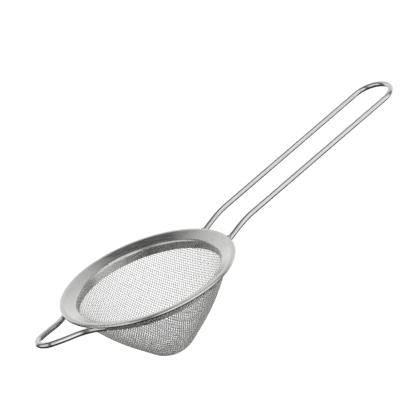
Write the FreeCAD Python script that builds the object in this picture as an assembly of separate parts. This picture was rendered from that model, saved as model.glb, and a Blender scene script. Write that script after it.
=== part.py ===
# Conical tea strainer in stainless steel, real size, millimetres.
# Origin: centre of the rim, 0.54 mm above the middle of its rolled edge.
# +X runs along the handle, +Y is to the left of it, +Z is up out of the bowl.
# Solids: a pressed rim, a woven mesh bowl (closed thin shell), a U-shaped
# handle wire, a small rest ear of the same wire and the weld nuggets.
import FreeCAD, Part
import os
import math

os.makedirs("parts", exist_ok=True)
V = FreeCAD.Vector

# ---------------------------------------------------------------- driving sizes
rim_d = 85.0            # outside diameter over the rolled edge
sheet_t = 0.45          # sheet thickness of the rim
roll_r = 0.85           # outside radius of the rolled edge in section
brow_r = 2.1            # outside radius of the easy bend from the flange into the roll
brow_end = 67.0         # the bend ends and the roll starts at this angle
flange_angle = 23.5     # slope of the dished flange, degrees below level
corner_z = -2.25        # height where flange and skirt mid-lines would meet
crease_fillet = 0.95    # mid-line radius between flange and skirt
skirt_r_in = 34.95      # inside radius of the upright skirt
skirt_z = -6.5          # lower edge of the skirt
roll_gap_angle = -158.0 # where the rolled edge stops, measured round its centre

mesh_t = 0.50           # two crossing wires thick
mesh_top_z = -3.05      # cut edge of the mesh, tucked up against the flange
mesh_cyl_z = -5.0       # the mesh leaves the skirt here and starts the cone
shoulder_r = 5.0        # outside radius of the turn from collar to cone
cone_half_top = 31.0    # half angle of the cone just under the shoulder
cone_half_low = 44.1    # half angle near the tip
cone_bulge_r = 115.0    # the cone's side bows out on this radius between them
tip_r = 16.0            # outside radius of the blunt tip

wire_d = 2.65           # wire of handle and ear
leg_y_root = 10.46      # half spacing of the legs at the rim
leg_y_end = 11.07       # half spacing where the end loop starts
root_x = 37.4           # inner end of the legs, under the flange
root_ref = (42.0, -1.44)  # a point of the steep root line (x, z)
root_slope = 0.405
main_ref = (62.0, 4.30)   # a point of the long straight line (x, z)
main_slope = 0.1533
bend_r = 47.0           # bend between the two lines
loop_x = 150.2          # where the end loop starts

weld_len = 1.8          # straight part of a handle weld nugget along the wire
weld_r = 1.46           # its radius
weld_lift = 0.66        # how far its centre sits above the wire's centre
ear_weld_len = 1.3      # the ear's nuggets are smaller and sit under the roll
ear_weld_r = 1.30
ear_weld_lift = 0.85
ear_tip_x = -60.8       # far end of the ear's centre-line
ear_tip_z = -0.70
ear_slope = -0.058      # the ear lies in one plane, falling towards the rim
ear_bends = [           # from the tip: radius (+ turns in, - flares out, 0 straight), turn in degrees or length
    (5.95, 64.0), (52.0, 9.5), (0.0, 2.2), (-18.5, 35.5), (0.0, 3.4)]


def pol(cx, cz, r, deg):
    a = math.radians(deg)
    return (cx + r * math.cos(a), cz + r * math.sin(a))


def pt(p):
    return V(p[0], 0.0, p[1])


def line(a, b):
    return Part.LineSegment(pt(a), pt(b)).toShape()


def arc(a, m, b):
    return Part.Arc(pt(a), pt(m), pt(b)).toShape()


def save(shape, name):
    shape.exportStep("parts/%s.step" % name)


# ---------------------------------------------------------------- rim
# Section in the XZ plane: skirt, crease, dished flange, easy bend, rolled edge.
roll_mid = roll_r - sheet_t / 2.0
roll_cx = rim_d / 2.0 - roll_r
tan_deg = 90.0 + flange_angle
fa = math.radians(flange_angle)
h = sheet_t / 2.0
skirt_mid = skirt_r_in + h

# centres of the bend and of the roll below it, found from the flange's line
brow_mid = brow_r - sheet_t / 2.0
je = math.radians(brow_end)
brow_cx = roll_cx - (brow_r - roll_r) * math.cos(je)
brow_cz = corner_z + (brow_cx - skirt_mid) * math.tan(fa) - brow_mid / math.cos(fa)
roll_z = brow_cz + (brow_r - roll_r) * math.sin(je)
# interior angle between flange (up and out) and skirt (down)
turn = math.pi / 2.0 - fa                      # change of direction at the crease
tl = crease_fillet * math.tan(turn / 2.0)
fc = (skirt_mid + crease_fillet, corner_z - tl)  # fillet centre, outside the skirt
up_a = 90.0 + flange_angle                     # end of the fillet on the flange
mid_a = (180.0 + up_a) / 2.0


def offset_section(s):
    """Edge chain at signed offset s from the mid-line, + is the inner/top side."""
    rf = crease_fillet + s
    rr = roll_mid + s
    a0 = (skirt_mid - s, skirt_z)
    a1 = (skirt_mid - s, fc[1])
    a2m = pol(fc[0], fc[1], rf, mid_a)
    a2 = pol(fc[0], fc[1], rf, up_a)
    f0 = pol(brow_cx, brow_cz, brow_mid + s, tan_deg)
    f1m = pol(brow_cx, brow_cz, brow_mid + s, (tan_deg + brow_end) / 2.0)
    a3 = pol(roll_cx, roll_z, rr, brow_end)
    a4m = pol(roll_cx, roll_z, rr, (brow_end + roll_gap_angle) / 2.0)
    a4 = pol(roll_cx, roll_z, rr, roll_gap_angle)
    return a0, a1, a2m, a2, f0, f1m, a3, a4m, a4


i0, i1, i2m, i2, if0, if1, i3, i4m, i4 = offset_section(h)
o0, o1, o2m, o2, of0, of1, o3, o4m, o4 = offset_section(-h)
rim_edges = [line(i0, i1), arc(i1, i2m, i2), line(i2, if0), arc(if0, if1, i3), arc(i3, i4m, i4),
             line(i4, o4),
             arc(o4, o4m, o3), arc(o3, of1, of0), line(of0, o2), arc(o2, o2m, o1), line(o1, o0),
             line(o0, i0)]
rim_face = Part.Face(Part.Wire(rim_edges))
rim = rim_face.revolve(V(0, 0, 0), V(0, 0, 1), 360.0)

# the wires are pressed into the roll from below when they are welded
roll_body = Part.makeTorus(roll_cx, roll_r, V(0, 0, roll_z))

# ---------------------------------------------------------------- mesh bowl
skirt_r_out = skirt_r_in + sheet_t
cyl_r = skirt_r_out + mesh_t
h0, h1 = math.radians(cone_half_top), math.radians(cone_half_low)
c_sh = (cyl_r - shoulder_r, mesh_cyl_z)                      # shoulder centre
p_sh = (c_sh[0] + shoulder_r * math.cos(h0), c_sh[1] - shoulder_r * math.sin(h0))
c_bu = (p_sh[0] - cone_bulge_r * math.cos(h0), p_sh[1] + cone_bulge_r * math.sin(h0))
p_bu = (c_bu[0] + cone_bulge_r * math.cos(h1), c_bu[1] - cone_bulge_r * math.sin(h1))
tip_x = tip_r * math.cos(h1)
p_ti = (tip_x, p_bu[1] - (p_bu[0] - tip_x) / math.tan(h1))
c_ti = (0.0, p_ti[1] + tip_r * math.sin(h1))


def mesh_side(off):
    """Edges of the bowl's section from its top to the axis, off mm inside."""
    def on(c, r, a):
        return (c[0] + (r - off) * math.cos(a), c[1] - (r - off) * math.sin(a))
    top = (cyl_r - off, mesh_top_z)
    e = [line(top, on(c_sh, shoulder_r, 0.0)),
         arc(on(c_sh, shoulder_r, 0.0), on(c_sh, shoulder_r, h0 / 2), on(c_sh, shoulder_r, h0)),
         arc(on(c_bu, cone_bulge_r, h0), on(c_bu, cone_bulge_r, (h0 + h1) / 2), on(c_bu, cone_bulge_r, h1)),
         line(on(c_bu, cone_bulge_r, h1), on(c_ti, tip_r, h1)),
         arc(on(c_ti, tip_r, h1), on(c_ti, tip_r, (h1 + math.pi / 2) / 2), (0.0, c_ti[1] - tip_r + off))]
    return e, top, (0.0, c_ti[1] - tip_r + off)


out_e, out_top, out_bot = mesh_side(0.0)
in_e, in_top, in_bot = mesh_side(mesh_t)
mesh_edges = out_e + in_e + [line(out_bot, in_bot), line(in_top, out_top)]
mesh_wire = Part.Wire(Part.__sortEdges__(mesh_edges))
mesh = Part.Face(mesh_wire).revolve(V(0, 0, 0), V(0, 0, 1), 360.0)
mesh = mesh.cut(rim)

# ---------------------------------------------------------------- wires
def sweep(edges, start, direction, d):
    path = Part.Wire(edges)
    c = Part.Wire(Part.Circle(start, direction, d / 2.0).toShape())
    s = path.makePipeShell([c], True, False)
    return Part.Solid(Part.Shell(s.Faces)) if s.ShapeType != "Solid" else s


# Handle: steep root line, bend, long straight leg, round end loop.
dy = (leg_y_end - leg_y_root) / (loop_x - root_ref[0])


def leg_y(x):
    return leg_y_root + dy * (x - root_ref[0])


cx = ((main_ref[1] - main_slope * main_ref[0]) - (root_ref[1] - root_slope * root_ref[0])) \
    / (root_slope - main_slope)
cz = root_ref[1] + root_slope * (cx - root_ref[0])
a_root = math.atan(root_slope)
a_main = math.atan(main_slope)
tb = bend_r * math.tan((a_root - a_main) / 2.0)
b1 = (cx - tb * math.cos(a_root), cz - tb * math.sin(a_root))
b2 = (cx + tb * math.cos(a_main), cz + tb * math.sin(a_main))
bc = (b1[0] + bend_r * math.sin(a_root), b1[1] - bend_r * math.cos(a_root))
am = (a_root + a_main) / 2.0
bm = (bc[0] - bend_r * math.sin(am), bc[1] + bend_r * math.cos(am))
root_z = root_ref[1] + root_slope * (root_x - root_ref[0])
loop_z = main_ref[1] + main_slope * (loop_x - main_ref[0])


def leg_pts(sgn):
    return [V(x, sgn * leg_y(x), z) for x, z in
            ((root_x, root_z), b1, bm, b2, (loop_x, loop_z))]


lp = leg_pts(1.0)
rp = leg_pts(-1.0)
run = math.sqrt(1.0 + main_slope ** 2)
eps = math.atan(dy / run)
loop_r = leg_y_end / math.cos(eps)
u_tip = loop_r * math.sin(eps) + loop_r
tip = V(loop_x + u_tip / run, 0.0, loop_z + main_slope * u_tip / run)
handle_edges = [
    Part.LineSegment(lp[0], lp[1]).toShape(),
    Part.Arc(lp[1], lp[2], lp[3]).toShape(),
    Part.LineSegment(lp[3], lp[4]).toShape(),
    Part.Arc(lp[4], tip, rp[4]).toShape(),
    Part.LineSegment(rp[4], rp[3]).toShape(),
    Part.Arc(rp[3], rp[2], rp[1]).toShape(),
    Part.LineSegment(rp[1], rp[0]).toShape()]
handle = sweep(handle_edges, lp[0], lp[1] - lp[0], wire_d)
handle = handle.cut(roll_body).cut(rim)

# Ear: one wire bent in a plane, its legs flaring apart under the rim.
ear_run = math.sqrt(1.0 + ear_slope ** 2)


def ear_pt(u, y):
    return V(ear_tip_x + u / ear_run, y, ear_tip_z + ear_slope * u / ear_run)


u, y, head = 0.0, 0.0, 90.0
half = []                # one side of the ear as (kind, points)
for radius, amount in ear_bends:
    if radius == 0.0:
        a = math.radians(head)
        u2, y2 = u + amount * math.cos(a), y + amount * math.sin(a)
        half.append(("line", (u, y), None, (u2, y2)))
    else:
        turn_sign = -1.0 if radius > 0 else 1.0     # -1 turns clockwise
        rad = abs(radius)
        a = math.radians(head)
        cu, cy = u - turn_sign * rad * math.sin(a), y + turn_sign * rad * math.cos(a)
        out = []
        for part in (0.5, 1.0):
            h2 = math.radians(head + turn_sign * amount * part)
            out.append((cu + turn_sign * rad * math.sin(h2), cy - turn_sign * rad * math.cos(h2)))
        half.append(("arc", (u, y), out[0], out[1]))
        u2, y2 = out[1]
        head += turn_sign * amount
    u, y = u2, y2


def ear_edges(sgn):
    out = []
    for kind, p, m, q in half:
        if kind == "line":
            out.append((ear_pt(p[0], sgn * p[1]), None, ear_pt(q[0], sgn * q[1])))
        else:
            out.append((ear_pt(p[0], sgn * p[1]), ear_pt(m[0], sgn * m[1]), ear_pt(q[0], sgn * q[1])))
    return out


def edge_of(p, m, q):
    return Part.LineSegment(p, q).toShape() if m is None else Part.Arc(p, m, q).toShape()


left = [edge_of(q, m, p) for p, m, q in reversed(ear_edges(1.0))]
right = [edge_of(p, m, q) for p, m, q in ear_edges(-1.0)]
ends = ear_edges(1.0)[-1]
ear_start, ear_dir = ends[2], ends[0] - ends[2]
ear = sweep(left + right, ear_start, ear_dir, wire_d)
ear = ear.cut(roll_body).cut(rim)

# ---------------------------------------------------------------- weld nuggets
def nugget(centre, along, length, radius):
    """Round-ended blob lying along the wire, later trimmed to the gap."""
    along = V(along)
    along.normalize()
    p = centre - along * (length / 2.0)
    q = centre + along * (length / 2.0)
    c = Part.makeCylinder(radius, length, p, along)
    return c.fuse([Part.makeSphere(radius, p), Part.makeSphere(radius, q)]).removeSplitter()


def biggest(shape):
    sols = sorted(shape.Solids, key=lambda q: q.Volume)
    return sols[-1]


def weld(centre, along, length, radius, wire):
    w = nugget(centre, along, length, radius)
    w = w.cut(roll_body).cut(wire)
    w = biggest(w)
    if w.common(rim).Volume > 1e-4:
        w = biggest(w.cut(rim))
    return w


# where the wires pass under the middle of the rolled edge
hx = math.sqrt((rim_d / 2.0 - roll_r) ** 2 - leg_y_root ** 2)
hz = root_ref[1] + root_slope * (hx - root_ref[0])
hd = lp[1] - lp[0]
left_weld = weld(V(hx - 0.15, leg_y(hx), hz + weld_lift), V(hd.x, hd.y, hd.z), weld_len, weld_r, handle)
handle_welds = [left_weld, left_weld.mirror(V(0, 0, 0), V(0, 1, 0))]

best = None
p3, m3, q3 = ear_edges(1.0)[3]
arc3 = Part.Arc(p3, m3, q3)
for k in range(101):
    t = arc3.FirstParameter + (arc3.LastParameter - arc3.FirstParameter) * k / 100.0
    p = arc3.value(t)
    miss = abs(math.hypot(p.x, p.y) - (rim_d / 2.0 - roll_r))
    if best is None or miss < best[0]:
        best = (miss, p, arc3.tangent(t)[0])
p, d = best[1], best[2]
left_weld = weld(V(p.x, p.y, p.z + ear_weld_lift), V(d.x, d.y, d.z), ear_weld_len, ear_weld_r, ear)
ear_welds = [left_weld, left_weld.mirror(V(0, 0, 0), V(0, 1, 0))]

save(rim, "rim_ring")
save(mesh, "mesh_cone")
save(handle, "handle_wire")
save(ear, "ear_wire")
save(Part.makeCompound(handle_welds), "handle_welds")
save(Part.makeCompound(ear_welds), "ear_welds")

print("roll centre", round(roll_cx, 3), round(roll_z, 3), "bend centre", round(brow_cx, 3), round(brow_cz, 3))
for nm, sh in (("rim", rim), ("mesh", mesh), ("handle", handle), ("ear", ear)):
    print(nm, round(sh.Volume, 1), "valid", sh.isValid(), "solids", len(sh.Solids))
for w in handle_welds + ear_welds:
    print("weld", round(w.Volume, 2), "valid", w.isValid(), "to rim", round(w.distToShape(rim)[0], 4),
          "overlap", round(w.common(rim).Volume + w.common(handle).Volume + w.common(ear).Volume, 5), w.BoundBox)
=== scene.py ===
import bpy
import math
import numpy as np
from mathutils import Matrix, Vector


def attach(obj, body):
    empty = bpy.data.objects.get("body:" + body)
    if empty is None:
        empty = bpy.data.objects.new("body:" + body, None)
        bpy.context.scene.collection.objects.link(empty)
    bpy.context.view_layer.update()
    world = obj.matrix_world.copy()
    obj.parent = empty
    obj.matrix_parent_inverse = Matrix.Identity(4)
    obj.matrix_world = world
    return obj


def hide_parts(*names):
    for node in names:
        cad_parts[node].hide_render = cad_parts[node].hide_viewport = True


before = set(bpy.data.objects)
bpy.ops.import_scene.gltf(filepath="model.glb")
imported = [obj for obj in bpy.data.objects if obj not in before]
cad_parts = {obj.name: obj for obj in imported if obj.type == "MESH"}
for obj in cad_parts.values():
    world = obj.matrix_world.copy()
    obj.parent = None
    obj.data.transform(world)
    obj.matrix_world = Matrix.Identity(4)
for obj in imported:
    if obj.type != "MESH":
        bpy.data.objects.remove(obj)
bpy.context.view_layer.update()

MM = 0.001

# ------------------------------------------------------------------ sizes, mm
PITCH_U, PITCH_V = 1.135, 1.06   # spacing of the two sets of wires
SKEW = -0.174           # the cloth is pulled out of square by this much
ROLL = 0.75             # share of a full turn that the flat cloth covers
TURN = 0.077            # direction of the first set of wires, flat
SEAM = math.radians(-27.0)       # where the cloth's edges meet, on the handle's side
LAP = 1.6               # how far each edge runs past the seam
WIRE_R = 0.125          # half of the cloth's wire
CRIMP = 0.125           # how far each wire swings either side of mid-surface
S_PER_CELL = 4
SIDES = 6
COLLAR_R, TOP_Z, COLLAR_Z = 35.90, -3.05, -5.0
SHOULDER_R, BULGE_R, TIP_R = 5.0, 115.0, 16.0
H0, H1 = math.radians(31.0), math.radians(44.1)
HALF_T = 0.25           # half of the cloth's thickness


# ------------------------------------------------------------------ woven bowl
def catmull(p, n):
    """Points on a Catmull-Rom curve through p, n per span."""
    p = np.asarray(p, float)
    q = np.vstack([2 * p[0] - p[1], p, 2 * p[-1] - p[-2]])
    t = np.arange(n) / n
    out = []
    for k in range(len(p) - 1):
        a, b, c, d = q[k], q[k + 1], q[k + 2], q[k + 3]
        tt = t[:, None]
        out.append(0.5 * (2 * b + (c - a) * tt + (2 * a - 5 * b + 4 * c - d) * tt ** 2
                          + (3 * b - a - 3 * c + d) * tt ** 3))
    out.append(p[-1:])
    return np.vstack(out)


def mid_profile():
    """Arc length from the tip, radius and height of the cloth's mid-surface."""
    o = HALF_T
    csh = (COLLAR_R - SHOULDER_R, COLLAR_Z)
    psh = (csh[0] + SHOULDER_R * math.cos(H0), csh[1] - SHOULDER_R * math.sin(H0))
    cbu = (psh[0] - BULGE_R * math.cos(H0), psh[1] + BULGE_R * math.sin(H0))
    pbu = (cbu[0] + BULGE_R * math.cos(H1), cbu[1] - BULGE_R * math.sin(H1))
    tx = TIP_R * math.cos(H1)
    cti = (0.0, pbu[1] - (pbu[0] - tx) / math.tan(H1) + TIP_R * math.sin(H1))

    def run(c, r, a0, a1, n):
        a = np.linspace(a0, a1, n)
        return np.stack([c[0] + (r - o) * np.cos(a), c[1] - (r - o) * np.sin(a)], 1)
    top = np.stack([np.full(20, COLLAR_R - o), np.linspace(TOP_Z, COLLAR_Z, 20)], 1)[:-1]
    c = np.vstack([top, run(csh, SHOULDER_R, 0, H0, 60)[:-1], run(cbu, BULGE_R, H0, H1, 260),
                   run(cti, TIP_R, H1, math.pi / 2, 160)])
    c = c[::-1]
    c[0, 0] = 0.0
    s = np.r_[0, np.cumsum(np.hypot(*np.diff(c, axis=0).T))]
    return s, c[:, 0], c[:, 1]


PS, PR, PZ = mid_profile()
S_TOP = PS[-1]
# carried on straight up, so that the net can be laid past the cut edge
PS2, PR2, PZ2 = np.r_[PS, S_TOP + 80], np.r_[PR, PR[-1]], np.r_[PZ, PZ[-1] + 80]


def surf(s, phi):
    r, z = np.interp(s, PS2, PR2), np.interp(s, PS2, PZ2)
    return np.stack([r * np.cos(phi), r * np.sin(phi), z], -1)


def flat_place(x, y):
    """A point of the flat cloth: distance from the tip, azimuth, and how far
    it lies past the seam line (0 on the sheet's inside part)."""
    rho = np.hypot(x, y)
    psi = np.arctan2(y, x) + TURN
    first = ROLL * SEAM
    wide = ROLL * 2 * math.pi
    spare = 2 * math.pi - wide
    psi = (psi - first + spare / 2) % (2 * math.pi) - spare / 2     # from the seam
    return rho, psi, wide


def on_sheet(x, y):
    rho, psi, wide = flat_place(x, y)
    lap = np.minimum(LAP / np.maximum(rho, 0.5), 0.3)
    return (rho < S_TOP) & (psi > -lap) & (psi < wide + lap)


def bowl_place(x, y):
    rho, psi, wide = flat_place(x, y)
    phi = SEAM + psi / ROLL
    near0, near1 = psi * rho, (wide - psi) * rho        # mm from each edge line
    lift = 0.0
    for d, sgn in ((near0, 1.0), (near1, -1.0)):
        k = np.clip((4.0 - d) / 3.0, 0.0, 1.0)
        lift = lift + sgn * 0.16 * k * k * (3 - 2 * k)
    lift = lift * np.clip(rho / 5.0, 0.0, 1.0)
    # a hand-rolled cloth never sits quite true
    wob = 0.010 * np.sin(2 * phi + 1.1) * rho / S_TOP
    return rho, phi + wob, lift


def outward(s, phi):
    e = 0.05
    dr = np.interp(s + e, PS2, PR2) - np.interp(np.maximum(s - e, 0), PS2, PR2)
    dz = np.interp(s + e, PS2, PZ2) - np.interp(np.maximum(s - e, 0), PS2, PZ2)
    l = np.hypot(dr, dz)
    nr, nz = dz / l, -dr / l
    return np.stack([nr * np.cos(phi), nr * np.sin(phi), nz], -1)


def strand(x, y, sign):
    """Centre-line and normals of one wire through its crossings."""
    s, phi, lift = bowl_place(x, y)
    nrm = outward(s, phi)
    pos = surf(s, phi) + nrm * lift[:, None]
    c = catmull(pos, S_PER_CELL)
    nn = catmull(nrm, S_PER_CELL)
    nn /= np.linalg.norm(nn, axis=1)[:, None]
    t = np.arange(len(c)) / S_PER_CELL
    off = CRIMP * sign * np.cos(math.pi * t)
    return c + nn * off[:, None], nn


def tubes(strands, radius):
    """Vertices and quads of round wires along the given lines."""
    V, F = [], []
    base = 0
    ang = 2 * math.pi * np.arange(SIDES) / SIDES
    for c, nn in strands:
        t = np.gradient(c, axis=0)
        t /= np.linalg.norm(t, axis=1)[:, None]
        b = np.cross(t, nn)
        b /= np.linalg.norm(b, axis=1)[:, None]
        n2 = np.cross(b, t)
        ring = c[:, None] + radius * (np.cos(ang)[None, :, None] * n2[:, None]
                                      + np.sin(ang)[None, :, None] * b[:, None])
        m = len(c)
        V.append(ring.reshape(-1, 3))
        a = np.arange(m - 1)[:, None] * SIDES + np.arange(SIDES)[None]
        a2 = np.arange(m - 1)[:, None] * SIDES + (np.arange(SIDES)[None] + 1) % SIDES
        F.append(np.stack([a, a2, a2 + SIDES, a + SIDES], -1).reshape(-1, 4) + base)
        base += m * SIDES
    return np.vstack(V), np.vstack(F)


def mesh_object(name, V, F):
    me = bpy.data.meshes.new(name)
    me.vertices.add(len(V))
    me.vertices.foreach_set("co", np.ascontiguousarray(V, dtype=np.float32).ravel())
    me.loops.add(F.size)
    me.loops.foreach_set("vertex_index", np.ascontiguousarray(F, dtype=np.int32).ravel())
    me.polygons.add(len(F))
    me.polygons.foreach_set("loop_start", np.arange(0, F.size, F.shape[1], dtype=np.int32))
    me.polygons.foreach_set("use_smooth", np.ones(len(F), dtype=bool))
    me.update(calc_edges=True)
    me.validate()
    ob = bpy.data.objects.new(name, me)
    bpy.context.scene.collection.objects.link(ob)
    return ob


def woven_bowl():
    n = int(S_TOP / min(PITCH_U, PITCH_V)) + 12
    k = np.arange(-n, n + 1)
    I, J = np.meshgrid(k, k, indexing="ij")
    X = PITCH_U * I
    Y = (PITCH_V * J - X * math.sin(SKEW)) / math.cos(SKEW)
    inside = on_sheet(X, Y)
    groups = {"warp": [], "weft": []}
    for fam in ("warp", "weft"):
        for q in range(len(k)):
            x, y, ok = (X[q], Y[q], inside[q]) if fam == "warp" else (X[:, q], Y[:, q], inside[:, q])
            edge = np.flatnonzero(np.diff(np.r_[False, ok, False].astype(int)))
            for lo, hi in zip(edge[::2], edge[1::2]):
                xs, ys, first = x[lo:hi], y[lo:hi], lo
                # run the ends on to the cut edge at the collar
                for end in (0, -1):
                    out = lo - 1 if end == 0 else hi
                    if not 0 <= out < len(x) or np.hypot(x[out], y[out]) < S_TOP:
                        continue
                    p0, p1 = np.array([xs[end], ys[end]]), np.array([x[out], y[out]])
                    r0, r1 = np.hypot(*p0), np.hypot(*p1)
                    f = (S_TOP - r0) / (r1 - r0)
                    if f < 0.3:
                        continue
                    p = p0 + f * (p1 - p0)
                    if end == 0:
                        xs, ys, first = np.r_[p[0], xs], np.r_[p[1], ys], lo - 1
                    else:
                        xs, ys = np.r_[xs, p[0]], np.r_[ys, p[1]]
                if len(xs) < 3:
                    continue
                sign = 1.0 if (first + q) % 2 == 0 else -1.0
                groups[fam].append(strand(xs, ys, sign if fam == "warp" else -sign))
    pieces = []
    for fam, strands in groups.items():
        total = sum(len(c) for c, _ in strands)
        parts = int(math.ceil(total * SIDES * 2 / 170000.0))
        lim, acc, cur, k = total / parts, 0, [], 1
        for st in strands:
            cur.append(st)
            acc += len(st[0])
            if acc >= lim * k - 1e-6 and k < parts:
                V, F = tubes(cur, WIRE_R)
                pieces.append(mesh_object("mesh_%s_%d" % (fam, k), V * MM, F))
                cur, k = [], k + 1
        V, F = tubes(cur, WIRE_R)
        pieces.append(mesh_object("mesh_%s_%d" % (fam, k), V * MM, F))
    return pieces


# ------------------------------------------------------------------ materials
def nodes_of(name):
    mat = bpy.data.materials.new(name)
    mat.use_nodes = True
    nt = mat.node_tree
    b = nt.nodes["Principled BSDF"]
    return mat, nt, b


def add(nt, kind, **kw):
    n = nt.nodes.new(kind)
    for k, v in kw.items():
        if k == "inputs":
            for a, b in v.items():
                n.inputs[a].default_value = b
        else:
            setattr(n, k, v)
    return n


def ramp(nt, fac, stops):
    r = nt.nodes.new("ShaderNodeValToRGB")
    r.color_ramp.elements[0].position, r.color_ramp.elements[1].position = stops[0][0], stops[-1][0]
    r.color_ramp.elements[0].color = (*stops[0][1], 1)
    r.color_ramp.elements[1].color = (*stops[-1][1], 1)
    for p, c in stops[1:-1]:
        e = r.color_ramp.elements.new(p)
        e.color = (*c, 1)
    nt.links.new(fac, r.inputs[0])
    return r


def g(v):
    return (v, v, v * 0.99)


def rim_material():
    """Spun and polished sheet: fine rings about the axis, rubbed streaks that
    follow them, small nicks."""
    mat, nt, b = nodes_of("rim_polished")
    L = nt.links.new
    tc = add(nt, "ShaderNodeTexCoord")
    sep = add(nt, "ShaderNodeSeparateXYZ")
    L(tc.outputs["Object"], sep.inputs[0])
    flat = add(nt, "ShaderNodeCombineXYZ")
    L(sep.outputs[0], flat.inputs[0]); L(sep.outputs[1], flat.inputs[1])
    ln = add(nt, "ShaderNodeVectorMath", operation="LENGTH")
    L(flat.outputs[0], ln.inputs[0])
    # rings: noise over radius and height only
    c2 = add(nt, "ShaderNodeCombineXYZ")
    L(ln.outputs["Value"], c2.inputs[0]); L(sep.outputs[2], c2.inputs[1])
    rings = add(nt, "ShaderNodeTexNoise", inputs={"Scale": 1900.0, "Detail": 4.0, "Roughness": 0.6})
    L(c2.outputs[0], rings.inputs["Vector"])
    # streaks: the same, but changing slowly round the rim as well
    unit = add(nt, "ShaderNodeVectorMath", operation="NORMALIZE")
    L(flat.outputs[0], unit.inputs[0])
    slow = add(nt, "ShaderNodeVectorMath", operation="SCALE")
    slow.inputs["Scale"].default_value = 7.0
    L(unit.outputs[0], slow.inputs[0])
    fast = add(nt, "ShaderNodeVectorMath", operation="SCALE")
    fast.inputs["Scale"].default_value = 1500.0
    L(c2.outputs[0], fast.inputs[0])
    both = add(nt, "ShaderNodeVectorMath", operation="ADD")
    L(slow.outputs[0], both.inputs[0]); L(fast.outputs[0], both.inputs[1])
    streak = add(nt, "ShaderNodeTexNoise", inputs={"Scale": 1.0, "Detail": 3.0, "Roughness": 0.6})
    L(both.outputs[0], streak.inputs["Vector"])
    nick = add(nt, "ShaderNodeTexNoise", inputs={"Scale": 900.0, "Detail": 2.0, "Roughness": 0.5})
    L(tc.outputs["Object"], nick.inputs["Vector"])
    col = ramp(nt, streak.outputs["Fac"], [(0.28, g(0.55)), (0.45, g(0.72)), (0.6, g(0.76)), (0.75, g(0.84))])
    L(col.outputs[0], b.inputs["Base Color"])
    rr = add(nt, "ShaderNodeMapRange", inputs={"From Min": 0.35, "From Max": 0.65, "To Min": 0.16, "To Max": 0.36})
    L(streak.outputs["Fac"], rr.inputs[0]); L(rr.outputs[0], b.inputs["Roughness"])
    b.inputs["Metallic"].default_value = 1.0
    bump = add(nt, "ShaderNodeBump", inputs={"Strength": 0.12, "Distance": 0.0001})
    L(rings.outputs["Fac"], bump.inputs["Height"])
    bump2 = add(nt, "ShaderNodeBump", inputs={"Strength": 0.25, "Distance": 0.00006})
    L(nick.outputs["Fac"], bump2.inputs["Height"]); L(bump.outputs[0], bump2.inputs["Normal"])
    L(bump2.outputs[0], b.inputs["Normal"])
    return mat


def wire_material():
    """Bright drawn wire: faint draw lines and small rubbed patches."""
    mat, nt, b = nodes_of("wire_bright")
    L = nt.links.new
    tc = add(nt, "ShaderNodeTexCoord")
    mp = add(nt, "ShaderNodeMapping")
    mp.inputs["Scale"].default_value = (60.0, 2600.0, 2600.0)
    L(tc.outputs["Object"], mp.inputs[0])
    draw = add(nt, "ShaderNodeTexNoise", inputs={"Scale": 1.0, "Detail": 3.0, "Roughness": 0.6})
    L(mp.outputs[0], draw.inputs["Vector"])
    rub = add(nt, "ShaderNodeTexNoise", inputs={"Scale": 160.0, "Detail": 3.0})
    L(tc.outputs["Object"], rub.inputs["Vector"])
    col = ramp(nt, draw.outputs["Fac"], [(0.3, g(0.66)), (0.7, g(0.80))])
    L(col.outputs[0], b.inputs["Base Color"])
    rr = add(nt, "ShaderNodeMapRange", inputs={"From Min": 0.3, "From Max": 0.7, "To Min": 0.07, "To Max": 0.15})
    L(rub.outputs["Fac"], rr.inputs[0]); L(rr.outputs[0], b.inputs["Roughness"])
    b.inputs["Metallic"].default_value = 1.0
    bump = add(nt, "ShaderNodeBump", inputs={"Strength": 0.08, "Distance": 0.00005})
    L(draw.outputs["Fac"], bump.inputs["Height"])
    # small dents and specks left by drawing and handling
    speck = add(nt, "ShaderNodeTexNoise", inputs={"Scale": 1100.0, "Detail": 2.0, "Roughness": 0.6})
    L(tc.outputs["Object"], speck.inputs["Vector"])
    bump2 = add(nt, "ShaderNodeBump", inputs={"Strength": 0.3, "Distance": 0.00004})
    L(speck.outputs["Fac"], bump2.inputs["Height"]); L(bump.outputs[0], bump2.inputs["Normal"])
    L(bump2.outputs[0], b.inputs["Normal"])
    return mat


def cloth_material():
    mat, nt, b = nodes_of("mesh_wire")
    L = nt.links.new
    tc = add(nt, "ShaderNodeTexCoord")
    no = add(nt, "ShaderNodeTexNoise", inputs={"Scale": 420.0, "Detail": 2.0})
    L(tc.outputs["Object"], no.inputs["Vector"])
    rr = add(nt, "ShaderNodeMapRange", inputs={"From Min": 0.3, "From Max": 0.7, "To Min": 0.2, "To Max": 0.36})
    L(no.outputs["Fac"], rr.inputs[0]); L(rr.outputs[0], b.inputs["Roughness"])
    b.inputs["Base Color"].default_value = (0.72, 0.72, 0.71, 1)
    b.inputs["Metallic"].default_value = 1.0
    return mat


def weld_material():
    mat, nt, b = nodes_of("weld_dull")
    L = nt.links.new
    tc = add(nt, "ShaderNodeTexCoord")
    no = add(nt, "ShaderNodeTexNoise", inputs={"Scale": 1500.0, "Detail": 4.0, "Roughness": 0.7})
    L(tc.outputs["Object"], no.inputs["Vector"])
    col = ramp(nt, no.outputs["Fac"], [(0.35, (0.36, 0.35, 0.33)), (0.55, (0.62, 0.61, 0.60)), (0.7, (0.80, 0.80, 0.79))])
    L(col.outputs[0], b.inputs["Base Color"])
    b.inputs["Metallic"].default_value = 1.0
    b.inputs["Roughness"].default_value = 0.42
    bump = add(nt, "ShaderNodeBump", inputs={"Strength": 0.5, "Distance": 0.0002})
    L(no.outputs["Fac"], bump.inputs["Height"]); L(bump.outputs[0], b.inputs["Normal"])
    return mat


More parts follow.
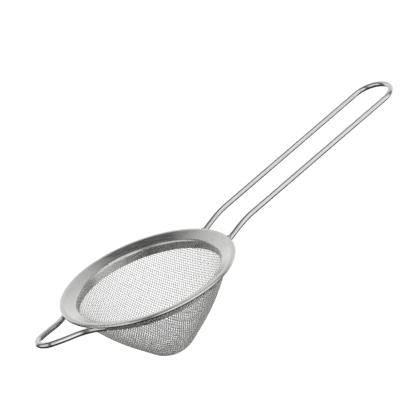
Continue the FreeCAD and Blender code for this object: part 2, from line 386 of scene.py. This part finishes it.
def floor_material():
    mat, nt, b = nodes_of("floor_pale")
    L = nt.links.new
    tc = add(nt, "ShaderNodeTexCoord")
    no = add(nt, "ShaderNodeTexNoise", inputs={"Scale": 3.0, "Detail": 2.0})
    L(tc.outputs["Object"], no.inputs["Vector"])
    col = ramp(nt, no.outputs["Fac"], [(0.3, (0.93, 0.93, 0.93)), (0.7, (0.95, 0.95, 0.95))])
    L(col.outputs[0], b.inputs["Base Color"])
    b.inputs["Roughness"].default_value = 0.9
    b.inputs["Specular IOR Level"].default_value = 0.0
    return mat


rim_mat, wire_mat, cloth_mat, weld_mat = rim_material(), wire_material(), cloth_material(), weld_material()
for node, mat in (("rim_ring", rim_mat), ("handle_wire", wire_mat), ("ear_wire", wire_mat),
                  ("handle_welds", weld_mat), ("ear_welds", weld_mat)):
    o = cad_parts[node]
    for sl in o.material_slots:
        sl.material = mat
    if not o.material_slots:
        o.data.materials.append(mat)

for o in woven_bowl():
    o.data.materials.append(cloth_mat)
    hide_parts("mesh_cone")
    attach(o, "root")

# ------------------------------------------------------------------ floor, light
FLOOR_Z = -0.50
bpy.ops.mesh.primitive_plane_add(size=16.0, location=(0.9, 1.7, FLOOR_Z))
floor = bpy.context.object
floor.name = "floor"
floor.data.materials.append(floor_material())

view = bpy.context.scene.view_settings
view.view_transform = "Standard"
view.look = "None"
view.exposure = 0.0
view.gamma = 1.0
bpy.context.scene.cycles.use_denoising = False

# studio: pale walls that fade upwards to a dark ceiling
world = bpy.data.worlds.new("studio")
bpy.context.scene.world = world
world.use_nodes = True
wn = world.node_tree
bg = wn.nodes["Background"]
wtc = wn.nodes.new("ShaderNodeTexCoord")


def along(direction):
    d = wn.nodes.new("ShaderNodeVectorMath")
    d.operation = "DOT_PRODUCT"
    v = Vector(direction).normalized()
    d.inputs[1].default_value = v
    wn.links.new(wtc.outputs["Generated"], d.inputs[0])
    return d.outputs["Value"]


def level(fac, stops):
    r = ramp(wn, fac, [(0.5 + 0.5 * p, (c, c, c)) for p, c in stops])
    m = wn.nodes.new("ShaderNodeMath")
    m.operation = "MULTIPLY_ADD"
    m.inputs[1].default_value = 0.5
    m.inputs[2].default_value = 0.5
    wn.links.new(fac, m.inputs[0])
    wn.links.new(m.outputs[0], r.inputs[0])
    return r.outputs[0]


walls = level(along((0, 0, 1)), [(-1.0, 1.0), (0.05, 1.0), (0.17, 0.98), (0.34, 0.84), (0.57, 0.71), (0.75, 0.62), (1.0, 0.5)])
below = level(along((0.3, 0.0, 1.0)), [(-1.0, 0.06), (-0.60, 0.08), (-0.50, 0.10), (-0.42, 0.18), (-0.30, 0.90), (-0.2, 1.0), (1.0, 1.0)])
ceiling = level(along((0, 0.217, 0.976)), [(-1.0, 1.0), (0.86, 1.0), (0.91, 0.62), (0.945, 0.17), (1.0, 0.13)])


def times(a, b):
    m = wn.nodes.new("ShaderNodeMix")
    m.data_type = "RGBA"
    m.blend_type = "MULTIPLY"
    m.inputs["Factor"].default_value = 1.0
    wn.links.new(a, m.inputs["A"])
    wn.links.new(b, m.inputs["B"])
    return m.outputs["Result"]




# upright dark panels between the walls, by their compass direction only
lay = wn.nodes.new("ShaderNodeVectorMath")
lay.operation = "MULTIPLY"
lay.inputs[1].default_value = (1.0, 1.0, 0.0)
wn.links.new(wtc.outputs["Generated"], lay.inputs[0])
bearing = wn.nodes.new("ShaderNodeVectorMath")
bearing.operation = "NORMALIZE"
wn.links.new(lay.outputs["Vector"], bearing.inputs[0])


def panel(az, inner, outer, tone):
    d = wn.nodes.new("ShaderNodeVectorMath")
    d.operation = "DOT_PRODUCT"
    d.inputs[1].default_value = (math.cos(math.radians(az)), math.sin(math.radians(az)), 0.0)
    wn.links.new(bearing.outputs["Vector"], d.inputs[0])
    lo, hi = math.cos(math.radians(outer)), math.cos(math.radians(inner))
    return level(d.outputs["Value"], [(-1.0, 1.0), (lo, 1.0), (hi, tone), (1.0, tone)])


light = times(times(walls, ceiling), below)
for spec in ((228, 6, 14, 0.26), (136, 12, 20, 0.18), (342, 8, 18, 0.28)):
    light = times(light, panel(*spec))
wn.links.new(light, bg.inputs["Color"])
bg.inputs["Strength"].default_value = 1.0


def area(name, loc, target, size, power, size_y=None):
    d = bpy.data.lights.new(name, "AREA")
    d.energy = power
    d.size = size
    if size_y:
        d.shape = "RECTANGLE"
        d.size_y = size_y
    o = bpy.data.objects.new(name, d)
    bpy.context.scene.collection.objects.link(o)
    o.location = loc
    o.rotation_euler = (Vector(target) - Vector(loc)).to_track_quat("-Z", "Y").to_euler()
    return o


# a weak soft box to the right of the camera
area("front_box", (0.75, -1.3, 0.75), (0.0, 0.0, 0.0), 1.1, 0.4)
# a higher one above it, and a narrow upright one further left
area("high_box", (0.53, -0.73, 1.44), (0.04, 0.0, 0.0), 0.9, 1.3)
area("left_box", (-0.45, -1.55, 0.52), (-0.05, 0.0, 0.0), 0.46, 0.75, 0.85)
# even light for the floor only
sun = bpy.data.lights.new("floor_light", "SUN")
sun.energy = 2.1
sun.angle = math.radians(25)
suno = bpy.data.objects.new("floor_light", sun)
bpy.context.scene.collection.objects.link(suno)
suno.location = (0, 0, 3)
suno.visible_glossy = False
floor.visible_glossy = False

# ------------------------------------------------------------------ camera
CAM_POS = (-260.62, -545.76, 273.65)
CAM_RIGHT = (0.759884, -0.570450, -0.311711)
CAM_DOWN = (-0.471654, -0.153836, -0.868261)
CAM_FWD = (0.447347, 0.806797, -0.385952)
FOCAL_PX = 1450.0
cam = bpy.data.cameras.new("photo_camera")
cam.sensor_fit = "HORIZONTAL"
cam.sensor_width = 36.0
cam.lens = FOCAL_PX / 416.0 * 36.0
cam.clip_start, cam.clip_end = 0.01, 30.0
cam.dof.use_dof = False
camo = bpy.data.objects.new("photo_camera", cam)
bpy.context.scene.collection.objects.link(camo)
r, u, b_ = Vector(CAM_RIGHT), -Vector(CAM_DOWN), -Vector(CAM_FWD)
m = Matrix(((r.x, u.x, b_.x), (r.y, u.y, b_.y), (r.z, u.z, b_.z))).to_4x4()
m.translation = Vector(CAM_POS) * MM
camo.matrix_world = m
bpy.context.scene.camera = camo
